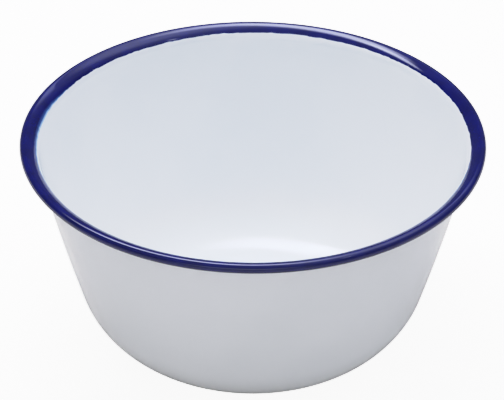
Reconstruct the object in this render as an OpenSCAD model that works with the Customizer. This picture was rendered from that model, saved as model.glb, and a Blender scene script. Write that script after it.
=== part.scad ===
// A deep enamelled mixing bowl: one pressed steel sheet with its lip curled into a hollow bead,
// under a dark ground coat, white enamel inside and outside, and blue enamel over the rim.
// The bowl stands on the XY plane and turns about Z.

/* [Bowl] */
// Diameter over the rim bead
rim_d = 240; // [220:1:270]
// Height from the table to the top of the bead
height = 121; // [116:0.5:126]

/* [Wall] */
// Lean of the wall from upright, just below the lip
top_lean = 11.2; // [10:0.1:12.4]
// Radius of the wall's slight belly
belly_radius = 1300; // [1100:50:1500]
// Radius of the round corner between wall and base
corner_radius = 45.5; // [40:0.5:48]

/* [Lip] */
// Diameter of the curled bead, over its enamel
bead_d = 5; // [4.6:0.1:5.4]
// Radius of the bend from the wall out to the bead, on the inside
flare_radius = 10; // [8:0.5:12]
// Slope of the sheet where the bead's curl begins
curl_slope = 20; // [10:1:25]

/* [Base] */
// Radius of the raised middle of the base
dish_radius = 42; // [30:1:45]
// Height of the raised middle of the base
dish_rise = 0.8; // [0.4:0.1:1.5]

/* [Sheet and enamel] */
// Thickness of the steel sheet
steel_t = 0.7; // [0.6:0.05:0.8]
// Thickness of the dark ground coat
ground_t = 0.1; // [0.08:0.01:0.12]
// Thickness of the white and blue cover enamels
cover_t = 0.15; // [0.12:0.01:0.18]
// How far the blue runs down inside the lip, from the top of the curl
blue_reach = 5.6; // [4:0.1:8]

/* [Hidden] */
$fn = 240;

// Steps of the arcs, in degrees
bead_step = 12;
flare_step = 5;
belly_step = 0.6;
corner_step = 3;
dome_step = 0.7;

// Depths into the wall, measured from its inside skin
steel_in = cover_t + ground_t;
steel_out = steel_in + steel_t;
white_out = steel_out + ground_t;
skin_out = white_out + cover_t;

// The bead is a circle, and the flare is a larger one that runs smoothly into its top
bead_r = bead_d / 2;
hollow_r = bead_r - steel_out;
bead_c = [rim_d / 2 - bead_r, height - bead_r];
curl_from = 90 + curl_slope;
flare_to_bead = flare_radius - bead_r;
flare_c = bead_c - flare_to_bead * [cos(curl_from), sin(curl_from)];
flare_to = 180 - top_lean;
blue_to = curl_from + blue_reach / flare_radius * 180 / PI;

// The angle between sides a and b of a triangle whose third side is c
function corner_angle(a, b, c) = acos((a * a + b * b - c * c) / (2 * a * b));

// The curl goes round until its edge meets the outside of the flare
flare_skin_r = flare_radius - skin_out;
curl_to = curl_from - 180 - corner_angle(flare_to_bead, bead_r, flare_skin_r);
// Under the curl, the outside layers reach up into the bead's hollow
lap_to = curl_from + corner_angle(flare_to_bead, flare_skin_r, hollow_r);

// The belly starts where the flare ends, and runs down until it is tangent to the corner
wall_top = flare_c + flare_skin_r * [cos(flare_to), sin(flare_to)];
belly_c = wall_top - belly_radius * [cos(top_lean), -sin(top_lean)];
belly_to_corner = belly_radius - corner_radius;
foot_lean = asin((belly_c[1] - corner_radius) / belly_to_corner);
corner_c = belly_c + belly_to_corner * [cos(foot_lean), -sin(foot_lean)];

// The middle of the base is a shallow dome
dome_r = (pow(dish_radius, 2) + pow(dish_rise, 2)) / (2 * dish_rise);
dome_c = [0, dish_rise - dome_r];
dome_edge = acos(dish_radius / dome_r);

// Points along an arc, after its first one
function arc(center, r, from, to, step) =
    let (count = ceil(abs(to - from) / step))
    [for (i = [1:count])
        let (turn = from + (to - from) * i / count)
        center + r * [cos(turn), sin(turn)]];

function reversed(points) = [for (i = [len(points) - 1:-1:0]) points[i]];

// The skin at one depth, from the middle of the base to a direction on the flare
function skin(depth, to = curl_from) =
    let (up = skin_out - depth, corner_r = corner_radius - up)
    concat(
        [[0, dish_rise + up]],
        arc(dome_c + [0, up], dome_r, 90, dome_edge, dome_step),
        [[corner_c[0], up]],
        arc(corner_c, corner_r, -90, -foot_lean, corner_step),
        arc(belly_c, belly_radius - up, -foot_lean, -top_lean, belly_step),
        arc(flare_c, flare_radius - depth, flare_to, to, flare_step)
    );

// The bead's skin at one depth, from the top of the curl to its edge
function curl(depth) = arc(bead_c, bead_r - depth, curl_from, curl_to, bead_step);

// A layer over the base, the wall and the bead
module curled_layer(near, far)
    polygon(concat(skin(near), curl(near), reversed(curl(far)), reversed(skin(far))));

// A layer on the outside of the wall, tucked under the curl
module outside_layer(near, far)
    polygon(concat(skin(near, lap_to), reversed(skin(far, lap_to))));

module steel_pressing()
    color("dimgray") rotate_extrude() curled_layer(steel_in, steel_out);

module ground_coat()
    color("darkslategray") {
        rotate_extrude() curled_layer(cover_t, steel_in);
        rotate_extrude() outside_layer(steel_out, white_out);
    }

module white_enamel_inside()
    color("white") rotate_extrude()
        polygon(concat(skin(0, blue_to), reversed(skin(cover_t, blue_to))));

module white_enamel_outside()
    color("whitesmoke") rotate_extrude() outside_layer(white_out, skin_out);

module blue_rim_enamel() {
    lip = arc(flare_c, flare_radius, blue_to, curl_from, flare_step);
    lip_back = arc(flare_c, flare_radius - cover_t, curl_from, blue_to, flare_step);
    start = flare_c + flare_radius * [cos(blue_to), sin(blue_to)];
    top_back = bead_c + (bead_r - cover_t) * [cos(curl_from), sin(curl_from)];
    color("midnightblue") rotate_extrude()
        polygon(concat([start], lip, curl(0), reversed(curl(cover_t)), [top_back], lip_back));
}

steel_pressing();
ground_coat();
white_enamel_inside();
white_enamel_outside();
blue_rim_enamel();
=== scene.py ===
import math

import bpy
from mathutils import Matrix, Vector


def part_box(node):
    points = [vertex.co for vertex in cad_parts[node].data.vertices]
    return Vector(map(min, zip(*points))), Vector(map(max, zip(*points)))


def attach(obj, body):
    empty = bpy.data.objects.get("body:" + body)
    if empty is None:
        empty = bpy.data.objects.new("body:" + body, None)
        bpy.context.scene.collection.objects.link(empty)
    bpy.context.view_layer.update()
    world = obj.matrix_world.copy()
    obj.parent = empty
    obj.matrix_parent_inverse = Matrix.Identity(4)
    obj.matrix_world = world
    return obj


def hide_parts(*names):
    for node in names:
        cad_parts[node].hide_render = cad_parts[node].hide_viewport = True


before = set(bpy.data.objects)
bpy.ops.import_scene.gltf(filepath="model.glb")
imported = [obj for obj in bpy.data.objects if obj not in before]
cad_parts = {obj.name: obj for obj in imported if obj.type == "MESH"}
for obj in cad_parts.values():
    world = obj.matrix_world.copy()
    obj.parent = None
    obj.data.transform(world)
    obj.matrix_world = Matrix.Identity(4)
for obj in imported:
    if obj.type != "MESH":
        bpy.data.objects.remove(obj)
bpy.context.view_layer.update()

print("frame loaded:", ", ".join(sorted(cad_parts)))

mm = 0.001


# small helpers for node trees
def give(tree, socket, value):
    if isinstance(value, bpy.types.NodeSocket):
        tree.links.new(value, socket)
    else:
        socket.default_value = value


def addNode(tree, kind, inputs=None, **settings):
    node = tree.nodes.new(kind)
    for name, value in settings.items():
        setattr(node, name, value)
    for name, value in (inputs or {}).items():
        give(tree, node.inputs[name], value)
    return node


def calc(tree, operation, *values):
    return addNode(tree, "ShaderNodeMath", dict(enumerate(values)), operation=operation).outputs[0]


def vectorCalc(tree, operation, *values):
    node = addNode(tree, "ShaderNodeVectorMath", dict(enumerate(values)), operation=operation)
    return node.outputs["Value" if operation in ("DISTANCE", "DOT_PRODUCT") else "Vector"]


def scaled(tree, vector, factor):
    return addNode(tree, "ShaderNodeVectorMath", {0: vector, "Scale": factor}, operation="SCALE").outputs[0]


def mapRange(tree, value, fromMin, fromMax, toMin=0.0, toMax=1.0, smooth=True):
    return addNode(tree, "ShaderNodeMapRange", {
        "Value": value, "From Min": fromMin, "From Max": fromMax, "To Min": toMin, "To Max": toMax},
        interpolation_type="SMOOTHSTEP" if smooth else "LINEAR").outputs["Result"]


def noise(tree, vector, scale, detail):
    return addNode(tree, "ShaderNodeTexNoise", {
        "Vector": vector, "Scale": scale, "Detail": detail}).outputs[0]


def mixColors(tree, factor, first, second):
    node = addNode(tree, "ShaderNodeMix", data_type="RGBA")
    for name, given in (("Factor_Float", factor), ("A_Color", first), ("B_Color", second)):
        give(tree, next(s for s in node.inputs if s.identifier == name), given)
    return next(s for s in node.outputs if s.identifier == "Result_Color")


cameraSetup = {
    "place": (0.0, -815.9 * mm, 624.3 * mm),
    "aim": (-0.34 * mm, 0.0, 78.0 * mm),
    "roll": 0.25,  # degrees
    "lens": 132.63,
    "sensor": 36.0,
}


def makeCamera(setup):
    data = bpy.data.cameras.new("bowlCamera")
    data.lens = setup["lens"]
    data.sensor_width = setup["sensor"]
    data.clip_start = 0.05
    camera = bpy.data.objects.new("bowlCamera", data)
    bpy.context.collection.objects.link(camera)
    aim = Vector(setup["aim"]) - Vector(setup["place"])
    turn = aim.to_track_quat("-Z", "Y").to_matrix().to_4x4()
    camera.matrix_world = (Matrix.Translation(setup["place"]) @ turn
                           @ Matrix.Rotation(math.radians(setup["roll"]), 4, "Z"))
    bpy.context.scene.camera = camera


makeCamera(cameraSetup)
print("camera placed")


# film response: straight up to the light greys, then a soft shoulder
film = {
    "whitest": 2.0,
    "response": ((0.0, 0.0), (0.1, 0.24), (0.25, 0.60), (0.30, 0.69), (0.375, 0.76), (0.5, 0.825),
                 (0.65, 0.88), (0.8, 0.94), (1.0, 1.0)),
}


def setFilm(values):
    view = bpy.context.scene.view_settings
    view.view_transform = "Standard"
    view.use_curve_mapping = True
    curves = view.curve_mapping
    curves.white_level = (values["whitest"],) * 3
    line = curves.curves[3]
    for x, y in values["response"][1:-1]:
        line.points.new(x, y)
    line.points[-1].location = values["response"][-1]
    curves.update()


setFilm(film)


# the bowl's section, as one steel blank is pressed
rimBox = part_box("blue_rim_enamel")

bowlShape = {
    "topLean": 11.2,  # degrees from upright, just under the lip
    "bellyRadius": 1300 * mm,
    "cornerRadius": 45.5 * mm,
    "flareRadius": 10 * mm,
    "curlSlope": 20,  # degrees, where the curl begins
    "dishRadius": 42 * mm,
    "dishRise": 0.8 * mm,
    "wall": 1.2 * mm,  # steel with all its enamel
    "coat": 0.15 * mm,  # one cover coat
}


def turned(center, radius, angle):
    return center + radius * Vector((math.cos(math.radians(angle)), math.sin(math.radians(angle))))


def arc(center, radius, start, stop, step):
    count = max(1, math.ceil(abs(stop - start) / step))
    return [turned(center, radius, start + (stop - start) * i / count) for i in range(count + 1)]


def cornerAngle(a, b, c):
    return math.degrees(math.acos((a * a + b * b - c * c) / (2 * a * b)))


def smoothStep(start, stop, value):
    t = min(1, max(0, (value - start) / (stop - start)))
    return t * t * (3 - 2 * t)


rimRadius = rimBox[1].x
rimHeight = rimBox[1].z
beadRadius = (rimBox[1].z - rimBox[0].z) / 2
beadCenter = Vector((rimRadius - beadRadius, rimHeight - beadRadius))
curlStart = 90 + bowlShape["curlSlope"]
lipToBead = bowlShape["flareRadius"] - beadRadius
lipCenter = turned(beadCenter, -lipToBead, curlStart)
lipOuterRadius = bowlShape["flareRadius"] - bowlShape["wall"]
lipEnd = 180 - bowlShape["topLean"]
curlStop = curlStart - 180 - cornerAngle(lipToBead, beadRadius, lipOuterRadius)
hollowRadius = beadRadius - bowlShape["wall"] + 2 * bowlShape["coat"]
lapStop = curlStart + cornerAngle(lipToBead, lipOuterRadius, hollowRadius)

wallTop = turned(lipCenter, lipOuterRadius, lipEnd)
bellyCenter = turned(wallTop, -bowlShape["bellyRadius"], -bowlShape["topLean"])
bellyToCorner = bowlShape["bellyRadius"] - bowlShape["cornerRadius"]
footLean = math.degrees(math.asin((bellyCenter.y - bowlShape["cornerRadius"]) / bellyToCorner))
cornerCenter = turned(bellyCenter, bellyToCorner, -footLean)
domeRadius = (bowlShape["dishRadius"] ** 2 + bowlShape["dishRise"] ** 2) / (2 * bowlShape["dishRise"])
domeCenter = Vector((0, bowlShape["dishRise"] - domeRadius))
domeEdge = math.degrees(math.acos(bowlShape["dishRadius"] / domeRadius))

# the border between white and blue is the top of the white node
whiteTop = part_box("white_enamel_inside")[1]
borderAngle = math.degrees(math.atan2(whiteTop.z - lipCenter.y, whiteTop.x - lipCenter.x))


sectionSteps = {  # degrees from point to point along each stretch
    "dome": 0.1,
    "corner": 2,
    "belly": 0.1,
    "lip": 1.5,
    "curl": 6,
}


def skin(depth, lipStop, coarser=1):
    # from the middle of the base to the lip, at one depth below the inside
    up = bowlShape["wall"] - depth
    dome = arc(domeCenter + Vector((0, up)), domeRadius, 90, domeEdge, sectionSteps["dome"] * coarser)
    corner = arc(cornerCenter, bowlShape["cornerRadius"] - up, -90, -footLean,
                 sectionSteps["corner"] * coarser)
    belly = arc(bellyCenter, bowlShape["bellyRadius"] - up, -footLean, -bowlShape["topLean"],
                sectionSteps["belly"] * coarser)
    lip = arc(lipCenter, bowlShape["flareRadius"] - depth, lipEnd, lipStop, sectionSteps["lip"] * coarser)
    return dome + corner + belly[1:] + lip[1:]


def lipPoint(past, depth):
    # a point on the lip, at a distance past the border towards the curl
    angle = borderAngle - math.degrees(past / bowlShape["flareRadius"])
    return turned(lipCenter, bowlShape["flareRadius"] - depth, angle)


print("section worked out: border at", round(borderAngle, 1), "degrees round the lip")


def coatTree():
    # a coat of enamel, its section spun round the bowl
    toothWidth = 0.16  # how far either side of its middle value the noise makes a notch
    shownEnds = (0.46, 0.5)  # share of the section's run where its hidden side begins
    rippleStarts = 1 * mm
    weldDistance = 0.001 * mm
    tree = bpy.data.node_groups.new("spunCoat", "GeometryNodeTree")
    tree.interface.new_socket("Geometry", in_out="INPUT", socket_type="NodeSocketGeometry")
    for name, kind, value in (
            ("Around", "NodeSocketInt", 360),
            ("Ripple Height", "NodeSocketFloat", 0.02 * mm),
            ("Ripple Size", "NodeSocketFloat", 20 * mm),
            ("Border Wander", "NodeSocketFloat", 0.0),
            ("Border Waves", "NodeSocketFloat", 3.0),
            ("Dip Tilt", "NodeSocketFloat", 0.0),
            ("Brush Teeth", "NodeSocketFloat", 0.0),
            ("Teeth Waves", "NodeSocketFloat", 20.0),
            ("Border Fade", "NodeSocketFloat", 3 * mm),
            ("Lip Center", "NodeSocketVector", (0, 0, 0)),
            ("Lip Radius", "NodeSocketFloat", 10 * mm),
            ("Seed", "NodeSocketFloat", 1.0),
            ("Faces Turned", "NodeSocketBool", True),
            ("Enamel", "NodeSocketMaterial", None)):
        socket = tree.interface.new_socket(name, in_out="INPUT", socket_type=kind)
        if value is not None:
            socket.default_value = value
    tree.interface.new_socket("Geometry", in_out="OUTPUT", socket_type="NodeSocketGeometry")
    given = tree.nodes.new("NodeGroupInput").outputs
    section = given["Geometry"]

    # a flat sheet, one column for each step round and one row for each point of the section
    count = addNode(tree, "GeometryNodeAttributeDomainSize", {"Geometry": section},
                    component="CURVE").outputs["Point Count"]
    sheet = addNode(tree, "GeometryNodeMeshGrid", {
        "Size X": 1.0, "Size Y": 1.0, "Vertices X": calc(tree, "ADD", given["Around"], 1.0),
        "Vertices Y": count}).outputs["Mesh"]
    position = addNode(tree, "GeometryNodeInputPosition").outputs[0]
    place = addNode(tree, "ShaderNodeSeparateXYZ", {0: position})
    turn = calc(tree, "MULTIPLY", calc(tree, "ADD", place.outputs["X"], 0.5), 2 * math.pi)
    row = calc(tree, "ROUND", calc(tree, "MULTIPLY", calc(tree, "ADD", place.outputs["Y"], 0.5),
                                   calc(tree, "SUBTRACT", count, 1.0)))

    def sectionValue(kind, value):
        return addNode(tree, "GeometryNodeSampleIndex", {
            "Geometry": section, "Value": value, "Index": row}, data_type=kind).outputs[0]

    onSection = sectionValue("FLOAT_VECTOR", position)
    tangent = sectionValue("FLOAT_VECTOR", addNode(tree, "GeometryNodeInputTangent").outputs[0])
    run = sectionValue("FLOAT", addNode(tree, "GeometryNodeSplineParameter").outputs["Length"])
    fullRun = addNode(tree, "GeometryNodeCurveLength", {0: section}).outputs[0]
    fromEdge = calc(tree, "MINIMUM", run, calc(tree, "SUBTRACT", fullRun, run))

    # the brushed border wanders round the lip's bend, and the rest of the coat stays put
    aroundX = calc(tree, "COSINE", turn)
    aroundY = calc(tree, "SINE", turn)
    circle = addNode(tree, "ShaderNodeCombineXYZ", {0: aroundX, 1: aroundY, 2: given["Seed"]}).outputs[0]
    waves = noise(tree, circle, given["Border Waves"], 3.0)
    wander = calc(tree, "MULTIPLY", mapRange(tree, waves, 0.3, 0.7, smooth=False), given["Border Wander"])
    teeth = noise(tree, circle, given["Teeth Waves"], 1.0)
    fromTooth = calc(tree, "ABSOLUTE", calc(tree, "SUBTRACT", teeth, 0.5))
    notch = mapRange(tree, fromTooth, 0.0, toothWidth, smooth=False)
    leaned = calc(tree, "SQRT", mapRange(tree, aroundX, -1.0, 1.0, smooth=False))
    tilted = calc(tree, "MULTIPLY", leaned, given["Dip Tilt"])
    pull = calc(tree, "ADD", calc(tree, "ADD", wander, tilted),
                calc(tree, "MULTIPLY", notch, given["Brush Teeth"]))
    nearEdge = mapRange(tree, fromEdge, 0.0, given["Border Fade"], 1.0, 0.0)
    slide = calc(tree, "DIVIDE", calc(tree, "MULTIPLY", pull, nearEdge), given["Lip Radius"])
    slid = addNode(tree, "ShaderNodeVectorRotate", {
        "Vector": onSection, "Center": given["Lip Center"], "Axis": (0, 1, 0), "Angle": slide},
        rotation_type="AXIS_ANGLE").outputs[0]

    # the fired glaze ripples on its shown side only
    outward = vectorCalc(tree, "NORMALIZE", vectorCalc(tree, "CROSS_PRODUCT", (0, 1, 0), tangent))
    axis = {"Center": (0, 0, 0), "Axis": (0, 0, 1), "Angle": turn}
    spunPlace = addNode(tree, "ShaderNodeVectorRotate", {"Vector": slid, **axis}).outputs[0]
    spunOutward = addNode(tree, "ShaderNodeVectorRotate", {"Vector": outward, **axis}).outputs[0]
    seedShift = addNode(tree, "ShaderNodeCombineXYZ", {0: given["Seed"], 1: 0.0, 2: 0.0}).outputs[0]
    rippleScale = calc(tree, "DIVIDE", 1.0, given["Ripple Size"])
    ripple = noise(tree, vectorCalc(tree, "ADD", spunPlace, seedShift), rippleScale, 2.0)
    runShare = calc(tree, "DIVIDE", run, fullRun)
    shown = calc(tree, "MULTIPLY", mapRange(tree, runShare, *shownEnds, 1.0, 0.0),
                 mapRange(tree, run, 0.0, rippleStarts))
    lift = calc(tree, "MULTIPLY", calc(tree, "MULTIPLY", calc(tree, "SUBTRACT", ripple, 0.5), 2.0),
                calc(tree, "MULTIPLY", given["Ripple Height"], shown))
    rippled = addNode(tree, "ShaderNodeSeparateXYZ", {
        0: vectorCalc(tree, "ADD", spunPlace, scaled(tree, spunOutward, lift))}).outputs
    # nothing reaches below what the bowl stands on
    finalPlace = addNode(tree, "ShaderNodeCombineXYZ", {
        0: rippled["X"], 1: rippled["Y"], 2: calc(tree, "MAXIMUM", rippled["Z"], 0.0)}).outputs[0]

    marked = addNode(tree, "GeometryNodeStoreNamedAttribute", {
        "Geometry": sheet, "Name": "fromEdge", "Value": fromEdge},
        data_type="FLOAT", domain="POINT").outputs[0]
    spun = addNode(tree, "GeometryNodeSetPosition", {"Geometry": marked, "Position": finalPlace}).outputs[0]
    welded = addNode(tree, "GeometryNodeMergeByDistance", {
        "Geometry": spun, "Distance": weldDistance}).outputs[0]
    outside = addNode(tree, "GeometryNodeFlipFaces", {
        "Mesh": welded, "Selection": given["Faces Turned"]}).outputs[0]
    smooth = addNode(tree, "GeometryNodeSetShadeSmooth", {
        "Geometry": outside, "Shade Smooth": True}).outputs[0]
    real = addNode(tree, "GeometryNodeRealizeInstances", {"Geometry": smooth}).outputs[0]
    coated = addNode(tree, "GeometryNodeSetMaterial", {
        "Geometry": real, "Material": given["Enamel"]}).outputs[0]
    tree.links.new(coated, tree.nodes.new("NodeGroupOutput").inputs["Geometry"])
    return tree


spunCoat = coatTree()


def keyFor(label):
    # "Ripple Height" in a tree is rippleHeight in a dictionary
    return label[0].lower() + label[1:].replace(" ", "")


def spinCoat(name, outline, material, values):
    curve = bpy.data.curves.new(name + "Section", "CURVE")
    curve.dimensions = "3D"
    spline = curve.splines.new("POLY")
    spline.points.add(len(outline) - 1)
    for point, at in zip(spline.points, outline):
        point.co = (at.x, 0, at.y, 1)
    host = bpy.data.objects.new(name + "Section", curve)
    bpy.context.collection.objects.link(host)
    modifier = host.modifiers.new("spunCoat", "NODES")
    modifier.node_group = spunCoat
    for socket in spunCoat.interface.items_tree:
        if socket.in_out == "INPUT" and keyFor(socket.name) in values:
            modifier[socket.identifier] = values[keyFor(socket.name)]
        if socket.name == "Enamel":
            modifier[socket.identifier] = material
    graph = bpy.context.evaluated_depsgraph_get()
    mesh = bpy.data.meshes.new_from_object(host.evaluated_get(graph))
    mesh.name = name
    mesh.materials.clear()
    mesh.materials.append(material)
    host.modifiers.remove(modifier)
    bpy.data.objects.remove(host)
    piece = bpy.data.objects.new(name, mesh)
    bpy.context.collection.objects.link(piece)
    return piece


def newGroup(name, inputs, outputs):
    tree = bpy.data.node_groups.new(name, "ShaderNodeTree")
    for label, kind, value in inputs:
        socket = tree.interface.new_socket(label, in_out="INPUT", socket_type=kind)
        if value is not None:
            socket.default_value = value
    for label, kind in outputs:
        tree.interface.new_socket(label, in_out="OUTPUT", socket_type=kind)
    return tree, tree.nodes.new("NodeGroupInput").outputs, tree.nodes.new("NodeGroupOutput").inputs


def glazeGroup():
    # slow waves and fine orange peel of a fired glaze, as a height in metres
    tree, given, result = newGroup("glazeSurface", (
        ("Vector", "NodeSocketVector", None), ("Wave Size", "NodeSocketFloat", 8 * mm),
        ("Wave Height", "NodeSocketFloat", 0.01 * mm), ("Peel Size", "NodeSocketFloat", 1.2 * mm),
        ("Peel Height", "NodeSocketFloat", 0.001 * mm)),
        (("Height", "NodeSocketFloat"), ("Tone", "NodeSocketFloat")))
    wave = noise(tree, given["Vector"], calc(tree, "DIVIDE", 1.0, given["Wave Size"]), 1.0)
    peel = noise(tree, given["Vector"], calc(tree, "DIVIDE", 1.0, given["Peel Size"]), 2.0)
    height = calc(tree, "ADD", calc(tree, "MULTIPLY", wave, given["Wave Height"]),
                  calc(tree, "MULTIPLY", peel, given["Peel Height"]))
    tree.links.new(height, result["Height"])
    tree.links.new(wave, result["Tone"])
    return tree


def specksGroup():
    # sparse dark pinholes, where the ground coat shows
    tree, given, result = newGroup("enamelSpecks", (
        ("Vector", "NodeSocketVector", None), ("Speck Spacing", "NodeSocketFloat", 14 * mm),
        ("Speck Size", "NodeSocketFloat", 0.25 * mm), ("Speck Share", "NodeSocketFloat", 0.1)),
        (("Mask", "NodeSocketFloat"),))
    cells = addNode(tree, "ShaderNodeTexVoronoi", {
        "Vector": given["Vector"], "Scale": calc(tree, "DIVIDE", 1.0, given["Speck Spacing"])})
    away = calc(tree, "MULTIPLY", cells.outputs["Distance"], given["Speck Spacing"])
    pick = addNode(tree, "ShaderNodeSeparateColor", {0: cells.outputs["Color"]}).outputs[0]
    chosen = calc(tree, "LESS_THAN", pick, given["Speck Share"])
    dark = calc(tree, "MULTIPLY", given["Speck Size"], 0.5)
    dot = mapRange(tree, away, dark, given["Speck Size"], 1.0, 0.0)
    tree.links.new(calc(tree, "MULTIPLY", dot, chosen), result["Mask"])
    return tree


glazeSurface = glazeGroup()
enamelSpecks = specksGroup()


def newMaterial(name):
    material = bpy.data.materials.new(name)
    material.use_nodes = True
    tree = material.node_tree
    shader = tree.nodes["Principled BSDF"]
    coords = tree.nodes.new("ShaderNodeTexCoord").outputs["Object"]
    return material, tree, shader, coords


def placeGroup(tree, group, coords, values):
    node = addNode(tree, "ShaderNodeGroup", node_tree=group)
    tree.links.new(coords, node.inputs["Vector"])
    for socket in node.inputs:
        if keyFor(socket.name) in values:
            socket.default_value = values[keyFor(socket.name)]
    return node.outputs


def glazeRoughness(tree, glaze, values):
    smoothest, roughest = (values["roughness"] * share for share in values["roughSpread"])
    return mapRange(tree, glaze["Tone"], 0.2, 0.8, smoothest, roughest)


def addBump(tree, shader, height):
    bump = addNode(tree, "ShaderNodeBump", {"Height": height, "Distance": 1.0, "Strength": 1.0})
    tree.links.new(bump.outputs[0], shader.inputs["Normal"])


whiteEnamel = {
    "color": (0.845, 0.868, 0.895, 1),
    "thinColor": (0.822, 0.848, 0.876, 1),
    "cloudSize": 45 * mm,
    "cloudRange": (0.35, 0.7),
    "poolColor": (0.78, 0.86, 0.94, 1),  # bluer towards the bottom of the inside
    "poolDepth": 22 * mm,
    "drainColor": (0.74, 0.77, 0.81, 1),  # painted shade: darker on the lip's bend just under the blue, against the light that bend catches
    "drainDepth": 4.5 * mm,
    "drainFull": 0.4,  # share of that depth that gets the full painted shade
    "speckColor": (0.03, 0.035, 0.05, 1),
    "scuffColor": (0.50, 0.50, 0.49, 1),  # rubbed where the bowl stands
    "scuffHeight": 0.1 * mm,
    "scuffGrain": 1.4 * mm,
    "scuffRange": (0.38, 0.66),
    "scuffRoughness": 0.35,
    "ior": 1.5,
    "roughness": 0.07,
    "roughSpread": (0.8, 1.3),
    "waveSize": 14 * mm,
    "waveHeight": 0.012 * mm,
    "peelSize": 1.6 * mm,
    "peelHeight": 0.0006 * mm,
    "speckSpacing": 16 * mm,
    "speckSize": 0.22 * mm,
    "speckShare": 0.12,
}


def whiteMaterial(name, values):
    material, tree, shader, coords = newMaterial(name)
    glaze = placeGroup(tree, glazeSurface, coords, values)
    specks = placeGroup(tree, enamelSpecks, coords, values)
    cloud = noise(tree, coords, 1 / values["cloudSize"], 3.0)
    clouded = mapRange(tree, cloud, *values["cloudRange"])
    body = mixColors(tree, clouded, values["color"], values["thinColor"])
    height = addNode(tree, "ShaderNodeSeparateXYZ", {0: coords}).outputs["Z"]
    # bluer towards the bottom of the inside
    bottomTinted = mapRange(tree, height, 0.0, values["poolDepth"], values["poolShare"], 0.0)
    # painted shade on the lip's bend, darkest nearest the blue's border
    flareShadeStart = whiteTop.z - values["drainDepth"]
    flareShadeEnd = whiteTop.z - values["drainDepth"] * values["drainFull"]
    flareShaded = mapRange(tree, height, flareShadeStart, flareShadeEnd, 0.0, values["drainShare"])
    rubbed = noise(tree, coords, 1 / values["scuffGrain"], 4.0)
    scuffed = calc(tree, "MULTIPLY",
                   mapRange(tree, rubbed, *values["scuffRange"], 0.0, values["scuffShare"]),
                   mapRange(tree, height, 0.0, values["scuffHeight"], 1.0, 0.0))
    color = mixColors(tree, bottomTinted, body, values["poolColor"])
    color = mixColors(tree, flareShaded, color, values["drainColor"])
    color = mixColors(tree, scuffed, color, values["scuffColor"])
    color = mixColors(tree, specks["Mask"], color, values["speckColor"])
    tree.links.new(color, shader.inputs["Base Color"])
    dulled = calc(tree, "MULTIPLY", scuffed, values["scuffRoughness"])
    rough = calc(tree, "ADD", glazeRoughness(tree, glaze, values), dulled)
    tree.links.new(rough, shader.inputs["Roughness"])
    shader.inputs["IOR"].default_value = values["ior"]
    addBump(tree, shader, glaze["Height"])
    return material


blueEnamel = {
    "color": (0.003, 0.0045, 0.10, 1),
    "deepColor": (0.0025, 0.0035, 0.075, 1),
    "cloudSize": 11 * mm,
    "cloudRange": (0.35, 0.65),
    "thinColor": (0.05, 0.13, 0.38, 1),
    "palestColor": (0.36, 0.56, 0.80, 1),
    "palestFrom": 0.6,  # how thin it is where the palest blue comes in
    "ior": 1.56,
    "sheen": (0.80, 0.83, 1.0, 1),
    "roughness": 0.06,
    "roughSpread": (0.7, 1.4),
    "crispFade": 0.5 * mm,  # round the back and the right
    "softFade": 3.6 * mm,  # where the coat thinned round the front and the left
    "softWay": (0.35, 1.0, 0.0),  # the way from soft to crisp
    "softRange": (-20 * mm, 25 * mm),
    "waveSize": 9 * mm,
    "waveHeight": 0.010 * mm,
    "peelSize": 1.1 * mm,
    "peelHeight": 0.0008 * mm,
}


def blueMaterial(name, values):
    material, tree, shader, coords = newMaterial(name)
    glaze = placeGroup(tree, glazeSurface, coords, values)
    cloud = noise(tree, coords, 1 / values["cloudSize"], 3.0)
    clouded = mapRange(tree, cloud, *values["cloudRange"])
    body = mixColors(tree, clouded, values["color"], values["deepColor"])
    fromEdge = addNode(tree, "ShaderNodeAttribute", attribute_name="fromEdge").outputs["Fac"]
    side = vectorCalc(tree, "DOT_PRODUCT", coords, values["softWay"])
    softEnd, crispEnd = values["softRange"]
    fade = mapRange(tree, side, crispEnd, softEnd, values["crispFade"], values["softFade"])
    thick = mapRange(tree, calc(tree, "DIVIDE", fromEdge, fade), 0.0, 1.0)
    thin = calc(tree, "SUBTRACT", 1.0, thick)
    bluer = mixColors(tree, thin, body, values["thinColor"])
    palest = mapRange(tree, thin, values["palestFrom"], 1.0)
    color = mixColors(tree, palest, bluer, values["palestColor"])
    tree.links.new(color, shader.inputs["Base Color"])
    tree.links.new(glazeRoughness(tree, glaze, values), shader.inputs["Roughness"])
    shader.inputs["IOR"].default_value = values["ior"]
    shader.inputs["Specular Tint"].default_value = values["sheen"]
    addBump(tree, shader, glaze["Height"])
    return material


groundCoat = {
    "color": (0.012, 0.014, 0.022, 1),
    "fleckColor": (0.05, 0.055, 0.075, 1),
    "roughness": (0.3, 0.48),
    "fleckSize": 0.6 * mm,
    "fleckRange": (0.55, 0.7),
    "fleckHeight": 0.01 * mm,
}

rolledSteel = {
    "color": (0.42, 0.41, 0.40, 1),
    "streakColor": (0.30, 0.295, 0.29, 1),
    "roughness": (0.336, 0.504),
    "streakStretch": (25.0, 900.0, 25.0),
    "streakRange": (0.4, 0.65),
    "streakHeight": 0.005 * mm,
}


def groundMaterial(values):
    material, tree, shader, coords = newMaterial("groundCoat")
    fleck = noise(tree, coords, 1 / values["fleckSize"], 3.0)
    mask = mapRange(tree, fleck, *values["fleckRange"])
    color = mixColors(tree, mask, values["color"], values["fleckColor"])
    tree.links.new(color, shader.inputs["Base Color"])
    tree.links.new(mapRange(tree, fleck, 0.3, 0.7, *values["roughness"]), shader.inputs["Roughness"])
    addBump(tree, shader, calc(tree, "MULTIPLY", fleck, values["fleckHeight"]))
    return material


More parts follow.
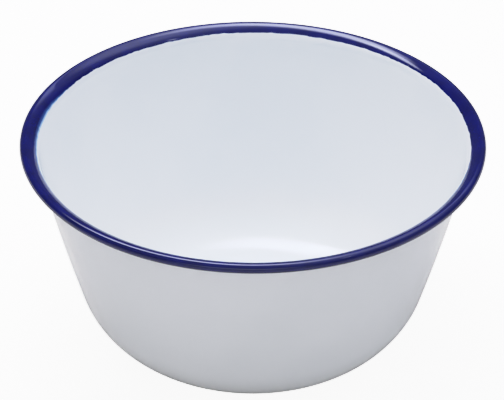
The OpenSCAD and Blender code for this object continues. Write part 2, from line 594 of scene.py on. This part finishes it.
def steelMaterial(values):
    material, tree, shader, coords = newMaterial("rolledSteel")
    stretched = addNode(tree, "ShaderNodeMapping", {
        "Vector": coords, "Scale": values["streakStretch"]}).outputs[0]
    streak = noise(tree, stretched, 1.0, 4.0)
    mask = mapRange(tree, streak, *values["streakRange"])
    color = mixColors(tree, mask, values["color"], values["streakColor"])
    tree.links.new(color, shader.inputs["Base Color"])
    shader.inputs["Metallic"].default_value = 1.0
    tree.links.new(mapRange(tree, streak, 0.3, 0.7, *values["roughness"]), shader.inputs["Roughness"])
    addBump(tree, shader, calc(tree, "MULTIPLY", streak, values["streakHeight"]))
    return material


def paintNode(node, material):
    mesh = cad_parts[node].data
    if len(mesh.materials) == 0:
        mesh.materials.append(material)
    for index in range(len(mesh.materials)):
        mesh.materials[index] = material


paintNode("ground_coat", groundMaterial(groundCoat))
paintNode("steel_pressing", steelMaterial(rolledSteel))
print("steel and ground coat finished")

coatOverlap = {
    "whiteEven": 1.6 * mm,  # full white under the blue, past the border
    "whiteGone": 4.0 * mm,
    "whiteThinned": 0.96,  # share of its depth that the white loses under the blue
    "blueSunk": 0.02 * mm,  # the blue's very edge lies just inside the white
    "blueProud": 0.06 * mm,
    "blueRises": 0.5 * mm,
    "borderAhead": 2.5 * mm,
    "fineStep": 0.08 * mm,
    "plainStep": 0.3 * mm,
    "curlShort": 1,  # degrees left free where the curl meets the wall
}

wholeReach = math.radians(borderAngle - curlStart) * bowlShape["flareRadius"]


def whiteDepth(past):
    return bowlShape["coat"] * smoothStep(coatOverlap["whiteEven"], coatOverlap["whiteGone"], past)


def insideOutline():
    front = skin(0, borderAngle)
    steps = 24
    for i in range(1, steps + 1):
        past = coatOverlap["whiteGone"] * i / steps
        front.append(lipPoint(past, whiteDepth(past) * coatOverlap["whiteThinned"]))
    back = skin(bowlShape["coat"], borderAngle, coarser=2)
    back.append(lipPoint(coatOverlap["whiteGone"], bowlShape["coat"]))
    return front + back[::-1]


def outsideOutline():
    wall = bowlShape["wall"]
    return skin(wall, lapStop) + skin(wall - bowlShape["coat"], lapStop, coarser=2)[::-1]


def blueOutline():
    # the border is cut at its furthest, and the tree pulls it back
    start = -coatOverlap["borderAhead"]
    rises = coatOverlap["blueRises"]
    front = []
    past = start
    while past < wholeReach:
        run = past - start
        rise = smoothStep(0, rises, run)
        settle = smoothStep(rises, coatOverlap["whiteGone"] + coatOverlap["borderAhead"], run)
        sunk = coatOverlap["blueSunk"] * (1 - rise)
        front.append(lipPoint(past, sunk - coatOverlap["blueProud"] * (rise - settle)))
        past += coatOverlap["fineStep"] if run < rises else coatOverlap["plainStep"]
    stop = curlStop - coatOverlap["curlShort"]
    front += arc(beadCenter, beadRadius, curlStart, stop, sectionSteps["curl"])
    back = []
    backSteps = 12
    for i in range(backSteps):
        past = start + (wholeReach - start) * i / backSteps
        under = min(bowlShape["coat"], whiteDepth(past) + coatOverlap["blueSunk"] * 2)
        back.append(lipPoint(past, under))
    back += arc(beadCenter, beadRadius - bowlShape["coat"], curlStart, stop, sectionSteps["curl"] * 2)
    outline = front + back[::-1]
    return outline + [outline[0]]


insideWhite = {
    **whiteEnamel,
    "poolShare": 1.0,
    "drainShare": 1.0,
    "scuffShare": 0.0,
    "around": 360,
    "rippleHeight": 0.03 * mm,
    "rippleSize": 26 * mm,
    "seed": 3.0,
}

outsideWhite = {
    **whiteEnamel,
    "poolShare": 0.0,
    "drainShare": 0.3,
    "scuffShare": 0.6,
    "facesTurned": False,  # this section runs up the other side of its coat
    "around": 360,
    "rippleHeight": 0.03 * mm,
    "rippleSize": 26 * mm,
    "seed": 5.0,
}

blueRim = {
    **blueEnamel,
    "around": 720,
    "rippleHeight": 0.02 * mm,
    "rippleSize": 12 * mm,
    "borderWander": 0.5 * mm,
    "borderWaves": 2.5,
    "dipTilt": 2.0 * mm,  # dipped a little deeper on the left
    "brushTeeth": 0.35 * mm,
    "teethWaves": 16.0,
    "borderFade": 6 * mm,
    "lipCenter": (lipCenter.x, 0, lipCenter.y),
    "lipRadius": bowlShape["flareRadius"],
    "seed": 7.0,
}

for name, node, finish, outline, makeMaterial, values in (
        ("insideWhiteEnamel", "white_enamel_inside", "white_enamel",
         insideOutline, whiteMaterial, insideWhite),
        ("outsideWhiteEnamel", "white_enamel_outside", "white_enamel",
         outsideOutline, whiteMaterial, outsideWhite),
        ("blueRimEnamel", "blue_rim_enamel", "blue_enamel",
         blueOutline, blueMaterial, blueRim)):
    piece = spinCoat(name, outline(), makeMaterial(name, values), values)
    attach(piece, "root")
    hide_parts(node)
    print(name, "finished,", len(piece.data.polygons), "faces")


studio = {
    "floorColor": (0.735, 0.71, 0.655, 1),
    "floorGlow": 2.4,  # how bright the floor is where it is seen directly
    "floorShadow": 0.35,  # share of the lit floor and its shadow left in that
    "floorSize": 30.0,
    "floorGrain": 40.0,
    "grainShade": 0.97,
    "floorRoughness": 0.9,
    "floorSpecular": 0.2,
    "ambientColor": (0.88, 0.91, 1.0, 1),
    "lowAmbient": 0.14,
    "highAmbient": 0.2,
    "frontAmbient": 0.1,
    "rightAmbient": 0.22,
}

softboxes = {
    # place, tilt and turn in degrees, size across and deep, brightness at the middle, color
    "ceilingCloth": ((0.45, 0.35, 1.5), (0, 0), (2.1, 2.1), 1.6, (0.80, 0.81, 1.0)),
    "ceilingBox": ((-0.28, 0.42, 1.49), (0, -6), (1.7, 0.9), 10.4, (0.89, 0.90, 1.0)),
    "leftBox": ((-0.95, 0.44, 1.48), (0, -20), (1.3, 0.45), 8.5, (0.90, 0.91, 1.0)),
    "rightTube": ((0.95, -0.48, 1.5), (0, 14), (0.18, 1.3), 10.0, (0.9, 0.94, 1.0)),
    "backCloth": ((0.45, 1.4, 1.5), (0, 0), (1.7, 1.4), 1.9, (0.58, 0.62, 1.0)),
    "frontWall": ((-0.3, -3.0, 0.8), (90, 0), (5.0, 1.6), 1.25, (0.97, 0.985, 1.0)),
    "rightWall": ((2.6, -0.6, 0.6), (90, 90), (2.4, 1.2), 0.2, (1.0, 1.0, 1.0)),
}


clothFade = (0.12, 0.5)  # from the even middle to the dark edge, as shares of the cloth


def makeSoftbox(name, place, angles, size, brightness, color):
    across, deep = size
    data = bpy.data.lights.new(name, "AREA")
    data.shape = "RECTANGLE"
    data.size = across
    data.size_y = deep
    data.energy = brightness * math.pi * across * deep
    data.color = color
    # even in the middle, fading out towards the cloth's edge
    data.use_nodes = True
    tree = data.node_tree
    onCloth = tree.nodes.new("ShaderNodeNewGeometry").outputs["Parametric"]
    fromMiddle = vectorCalc(tree, "DISTANCE", onCloth, (0.5, 0.5, 0.0))
    strength = mapRange(tree, fromMiddle, *clothFade, 1.0, 0.0)
    tree.links.new(strength, tree.nodes["Emission"].inputs["Strength"])
    light = bpy.data.objects.new(name, data)
    bpy.context.collection.objects.link(light)
    light.location = place
    tilt, turn = angles
    light.rotation_euler = (math.radians(tilt), 0, math.radians(turn))


def makeFloor(values):
    half = values["floorSize"] / 2
    mesh = bpy.data.meshes.new("paleFloor")
    corners = [(-half, -half, 0), (half, -half, 0), (half, half, 0), (-half, half, 0)]
    mesh.from_pydata(corners, [], [(0, 1, 2, 3)])
    floor = bpy.data.objects.new("paleFloor", mesh)
    bpy.context.collection.objects.link(floor)
    material, tree, shader, coords = newMaterial("paleFloor")
    grain = noise(tree, coords, values["floorGrain"], 2.0)
    shade = tuple(c * values["grainShade"] for c in values["floorColor"][:3]) + (1,)
    tree.links.new(mixColors(tree, grain, values["floorColor"], shade), shader.inputs["Base Color"])
    shader.inputs["Roughness"].default_value = values["floorRoughness"]
    shader.inputs["Specular IOR Level"].default_value = values["floorSpecular"]
    # seen directly, the floor is nearly white with a soft shadow left in it
    glow = addNode(tree, "ShaderNodeEmission", {"Strength": values["floorGlow"]})
    seen = addNode(tree, "ShaderNodeMixShader", {
        0: values["floorShadow"], 1: glow.outputs[0], 2: shader.outputs[0]})
    ray = tree.nodes.new("ShaderNodeLightPath").outputs["Is Camera Ray"]
    both = addNode(tree, "ShaderNodeMixShader", {0: ray, 1: shader.outputs[0], 2: seen.outputs[0]})
    tree.links.new(both.outputs[0], tree.nodes["Material Output"].inputs["Surface"])
    mesh.materials.append(material)


def makeWorld(values):
    world = bpy.data.worlds.new("studioWorld")
    world.use_nodes = True
    tree = world.node_tree
    direction = tree.nodes.new("ShaderNodeTexCoord").outputs["Generated"]
    way = addNode(tree, "ShaderNodeSeparateXYZ", {0: direction}).outputs
    high = mapRange(tree, way["Z"], 0.5, 0.8, 0.0, values["highAmbient"])
    front = mapRange(tree, way["Y"], 0.1, -0.7, 0.0, values["frontAmbient"])
    fromRight = mapRange(tree, way["X"], 0.0, 0.6, 0.0, values["rightAmbient"])
    right = calc(tree, "MULTIPLY", fromRight, mapRange(tree, way["Z"], 0.35, 0.6))
    total = calc(tree, "ADD", calc(tree, "ADD", high, front), right)
    total = calc(tree, "ADD", total, values["lowAmbient"])
    background = tree.nodes["Background"]
    background.inputs["Color"].default_value = values["ambientColor"]
    tree.links.new(total, background.inputs["Strength"])
    bpy.context.scene.world = world


makeWorld(studio)
makeFloor(studio)
for label, values in softboxes.items():
    makeSoftbox(label, *values)
print("studio lit")
